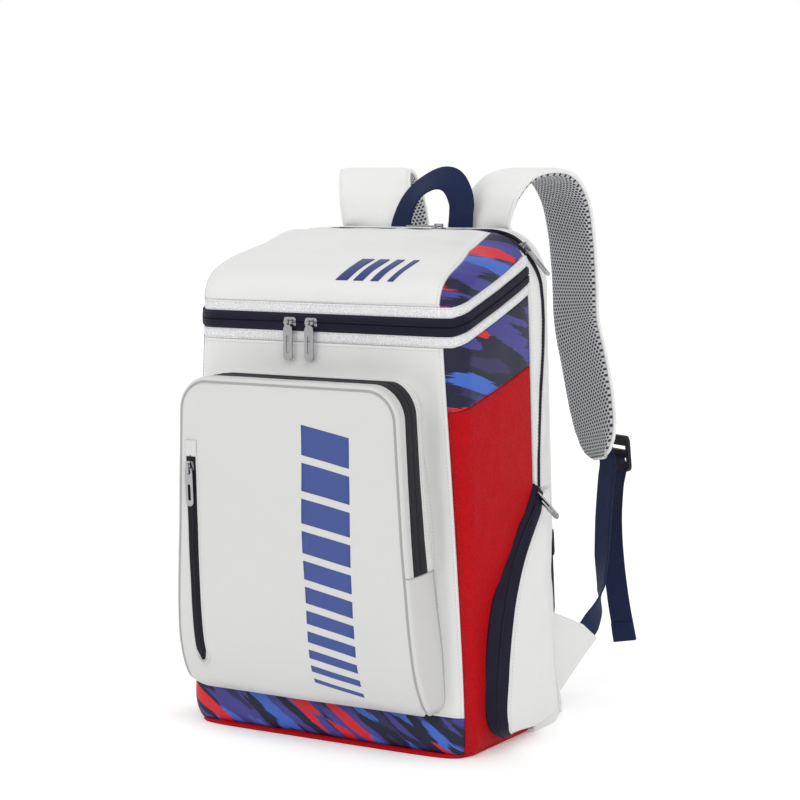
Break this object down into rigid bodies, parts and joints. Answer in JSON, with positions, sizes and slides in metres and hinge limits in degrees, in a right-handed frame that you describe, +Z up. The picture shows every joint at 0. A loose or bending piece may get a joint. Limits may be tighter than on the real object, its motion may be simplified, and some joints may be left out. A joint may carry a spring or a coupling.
{
  "type": "racket backpack",
  "caption": "Boxy padded sports backpack with a hooded zip lid, rear racket compartment, zipped front and side pockets, padded shoulder straps and a webbing carry loop.",
  "frame": {"origin": "centre of the main compartment's base on the floor", "axes": "+Z up, front pocket faces -Y, shoulder straps on the +Y side, +X is the side on the viewer's right when looking at the front"},
  "size_m": [0.3742, 0.3921, 0.5286],
  "materials": {
    "white_pu": "smooth PU-coated fabric, soft satin sheen",
    "pocket_pu": "smooth PU-coated fabric, slightly cooler white",
    "silver_trim": "fine silver-speckled reflective fabric",
    "print": "printed satin fabric with a brush-stroke pattern",
    "red_pu": "red PU fabric with a fine embossed texture",
    "zip_tape": "dark navy zip tape with fine coil teeth",
    "mesh": "grey air mesh over foam",
    "webbing": "navy woven webbing",
    "silver_metal": "polished nickel",
    "black_plastic": "black moulded nylon",
    "stiffener": "plastic stiffening board"
  },
  "bodies": {
    "bag": {"back_board": "stiffener", "back_pads": "mesh", "back_panel": "white_pu", "base_board": "stiffener", "base_panel": "red_pu", "divider_panel": "white_pu", "front_panel": "white_pu", "front_pocket_base": "pocket_pu", "front_pocket_zip": "zip_tape", "main_zip_lower": "zip_tape", "mouth_trim": "silver_trim", "print_band": "print", "racket_gusset_front": "white_pu", "racket_gusset_rear": "white_pu", "racket_zip": "zip_tape", "side_panel_left": "red_pu", "side_panel_right": "red_pu", "side_pocket_zip_left": "zip_tape", "side_pocket_zip_right": "zip_tape", "side_print_left": "print", "side_print_right": "print", "small_zip_lower": "zip_tape", "strap_roots": "white_pu", "strap_wings": "white_pu", "strap_yoke": "white_pu"},
    "lid": {"lid_top": "white_pu", "lid_print_right": "print", "lid_print_left": "print", "lid_trim": "silver_trim", "main_zip_upper": "zip_tape"},
    "pocket_flap": {"front_pocket_flap": "pocket_pu", "small_zip_upper": "zip_tape"},
    "side_pocket_right": {"side_pocket_panel_right": "white_pu"},
    "side_pocket_left": {"side_pocket_panel_left": "white_pu"},
    "hidden_puller": {"hidden_pocket_puller": "black_plastic"},
    "strap_right": {"strap_pad_right": "white_pu", "strap_webbing_right": "webbing"},
    "strap_left": {"strap_pad_left": "white_pu", "strap_webbing_left": "webbing"},
    "lock_right": {"ladder_lock_right": "black_plastic"},
    "lock_left": {"ladder_lock_left": "black_plastic"},
    "tail_right": {"strap_tail_right": "webbing"},
    "tail_left": {"strap_tail_left": "webbing"},
    "carry_loop": {"handle_loop": "webbing"},
    "main_slider_a_body": {"main_slider_a": "silver_metal"},
    "main_pull_a_body": {"main_pull_a": "silver_metal"},
    "main_slider_b_body": {"main_slider_b": "silver_metal"},
    "main_pull_b_body": {"main_pull_b": "silver_metal"},
    "small_slider_body": {"small_slider": "silver_metal"},
    "small_pull_body": {"small_pull": "silver_metal"},
    "pocket_slider_body": {"pocket_slider": "silver_metal"},
    "pocket_pull_body": {"pocket_pull": "silver_metal"},
    "side_slider_right_body": {"side_slider_right": "silver_metal"},
    "side_pull_right_body": {"side_pull_right": "silver_metal"},
    "side_slider_left_body": {"side_slider_left": "silver_metal"},
    "side_pull_left_body": {"side_pull_left": "silver_metal"},
    "racket_slider_right_body": {"racket_slider_right": "silver_metal"},
    "racket_pull_right_body": {"racket_pull_right": "silver_metal"},
    "racket_slider_top_body": {"racket_slider_top": "silver_metal"},
    "racket_pull_top_body": {"racket_pull_top": "silver_metal"}
  },
  "joints": [
    {"name": "main_slider_a_run", "type": "slide", "parent": "bag", "child": "main_slider_a_body", "axis": [1, 0, 0], "range_m": [-0.08, 0]},
    {"name": "main_pull_a_swing", "type": "hinge", "parent": "main_slider_a_body", "child": "main_pull_a_body", "pos_m": [-0.033, -0.0915, 0.387], "axis": [-1, 0, 0], "range_deg": [0, 120]},
    {"name": "main_slider_b_run", "type": "slide", "parent": "bag", "child": "main_slider_b_body", "axis": [1, 0, 0], "range_m": [0, 0.122]},
    {"name": "main_pull_b_swing", "type": "hinge", "parent": "main_slider_b_body", "child": "main_pull_b_body", "pos_m": [-0.01, -0.0915, 0.387], "axis": [-1, 0, 0], "range_deg": [0, 120]},
    {"name": "small_slider_run", "type": "slide", "parent": "pocket_flap", "child": "small_slider_body", "axis": [0, -0.0587, 0.9983], "range_m": [-0.07, 0]},
    {"name": "small_pull_swing", "type": "hinge", "parent": "small_slider_body", "child": "small_pull_body", "pos_m": [-0.105, -0.14798, 0.25379], "axis": [-1, 0, 0], "range_deg": [0, 120]},
    {"name": "pocket_slider_run", "type": "slide", "parent": "bag", "child": "pocket_slider_body", "axis": [0.0368, 0, 0.9993], "range_m": [0, 0.105]},
    {"name": "pocket_pull_swing", "type": "hinge", "parent": "pocket_slider_body", "child": "pocket_pull_body", "pos_m": [-0.12515, -0.114, 0.19013], "axis": [0, 1, 0], "range_deg": [-18, 90]},
    {"name": "side_slider_right_run", "type": "slide", "parent": "bag", "child": "side_slider_right_body", "axis": [0, 0.741, 0.6715], "range_m": [-0.026, 0]},
    {"name": "side_pull_right_swing", "type": "hinge", "parent": "side_slider_right_body", "child": "side_pull_right_body", "pos_m": [0.15191, 0.04164, 0.23003], "axis": [0, -0.741, -0.6715], "range_deg": [-10, 90]},
    {"name": "side_slider_left_run", "type": "slide", "parent": "bag", "child": "side_slider_left_body", "axis": [0, 0.741, 0.6715], "range_m": [-0.026, 0]},
    {"name": "side_pull_left_swing", "type": "hinge", "parent": "side_slider_left_body", "child": "side_pull_left_body", "pos_m": [-0.15191, 0.04164, 0.23003], "axis": [0, 0.741, 0.6715], "range_deg": [-10, 90]},
    {"name": "racket_slider_right_run", "type": "hinge", "parent": "bag", "child": "racket_slider_right_body", "pos_m": [0.0851, 0.068, 0.413], "axis": [0, -1, 0], "range_deg": [-36, 15]},
    {"name": "racket_pull_right_swing", "type": "hinge", "parent": "racket_slider_right_body", "child": "racket_pull_right_body", "pos_m": [0.12832, 0.068, 0.45331], "axis": [0, -1, 0], "range_deg": [0, 115]},
    {"name": "racket_slider_top_run", "type": "slide", "parent": "bag", "child": "racket_slider_top_body", "axis": [1, 0, 0], "range_m": [-0.105, 0.015]},
    {"name": "racket_pull_top_swing", "type": "hinge", "parent": "racket_slider_top_body", "child": "racket_pull_top_body", "pos_m": [0.034, 0.068, 0.4716], "axis": [0, 1, 0], "range_deg": [0, 120]},
    {"name": "lid_hinge", "type": "hinge", "parent": "bag", "child": "lid", "pos_m": [0, 0.038, 0.4682], "axis": [-1, 0, 0], "range_deg": [0, 100]},
    {"name": "pocket_flap_hinge", "type": "hinge", "parent": "bag", "child": "pocket_flap", "pos_m": [0, -0.138, 0.171], "axis": [1, 0, 0], "range_deg": [0, 45]},
    {"name": "side_pocket_right_hinge", "type": "hinge", "parent": "bag", "child": "side_pocket_right", "pos_m": [0.1544, 0.0912, 0], "axis": [-0.0336, 0, 0.9994], "range_deg": [0, 25]},
    {"name": "side_pocket_left_hinge", "type": "hinge", "parent": "bag", "child": "side_pocket_left", "pos_m": [-0.1544, 0.0912, 0], "axis": [-0.0336, 0, -0.9994], "range_deg": [0, 25]},
    {"name": "hidden_puller_swing", "type": "hinge", "parent": "side_pocket_right", "child": "hidden_puller", "pos_m": [0.16347, 0.076, 0.19658], "axis": [0, -1, 0], "range_deg": [0, 80]},
    {"name": "strap_right_hinge", "type": "hinge", "parent": "bag", "child": "strap_right", "pos_m": [0.058, 0.106, 0.4695], "axis": [1, 0, 0], "range_deg": [-4, 12], "deforming": ["strap_webbing_right"]},
    {"name": "lock_right_tilt", "type": "hinge", "parent": "strap_right", "child": "lock_right", "pos_m": [0.1555, 0.2105, 0.2605], "axis": [0.8988, -0.4384, 0], "range_deg": [0, 25]},
    {"name": "tail_right_swing", "type": "hinge", "parent": "lock_right", "child": "tail_right", "pos_m": [0.164, 0.219, 0.226], "axis": [0.8988, -0.4384, 0], "range_deg": [-12, 15]},
    {"name": "strap_left_hinge", "type": "hinge", "parent": "bag", "child": "strap_left", "pos_m": [-0.058, 0.106, 0.4695], "axis": [1, 0, 0], "range_deg": [-4, 12], "deforming": ["strap_webbing_left"]},
    {"name": "lock_left_tilt", "type": "hinge", "parent": "strap_left", "child": "lock_left", "pos_m": [-0.1555, 0.2105, 0.2605], "axis": [0.8988, 0.4384, 0], "range_deg": [0, 25]},
    {"name": "tail_left_swing", "type": "hinge", "parent": "lock_left", "child": "tail_left", "pos_m": [-0.164, 0.219, 0.226], "axis": [0.8988, 0.4384, 0], "range_deg": [-12, 15]},
    {"name": "carry_loop_fold", "type": "hinge", "parent": "bag", "child": "carry_loop", "pos_m": [0.007, 0.0974, 0.4692], "axis": [1, 0, 0], "range_deg": [0, 35]}
  ]
}
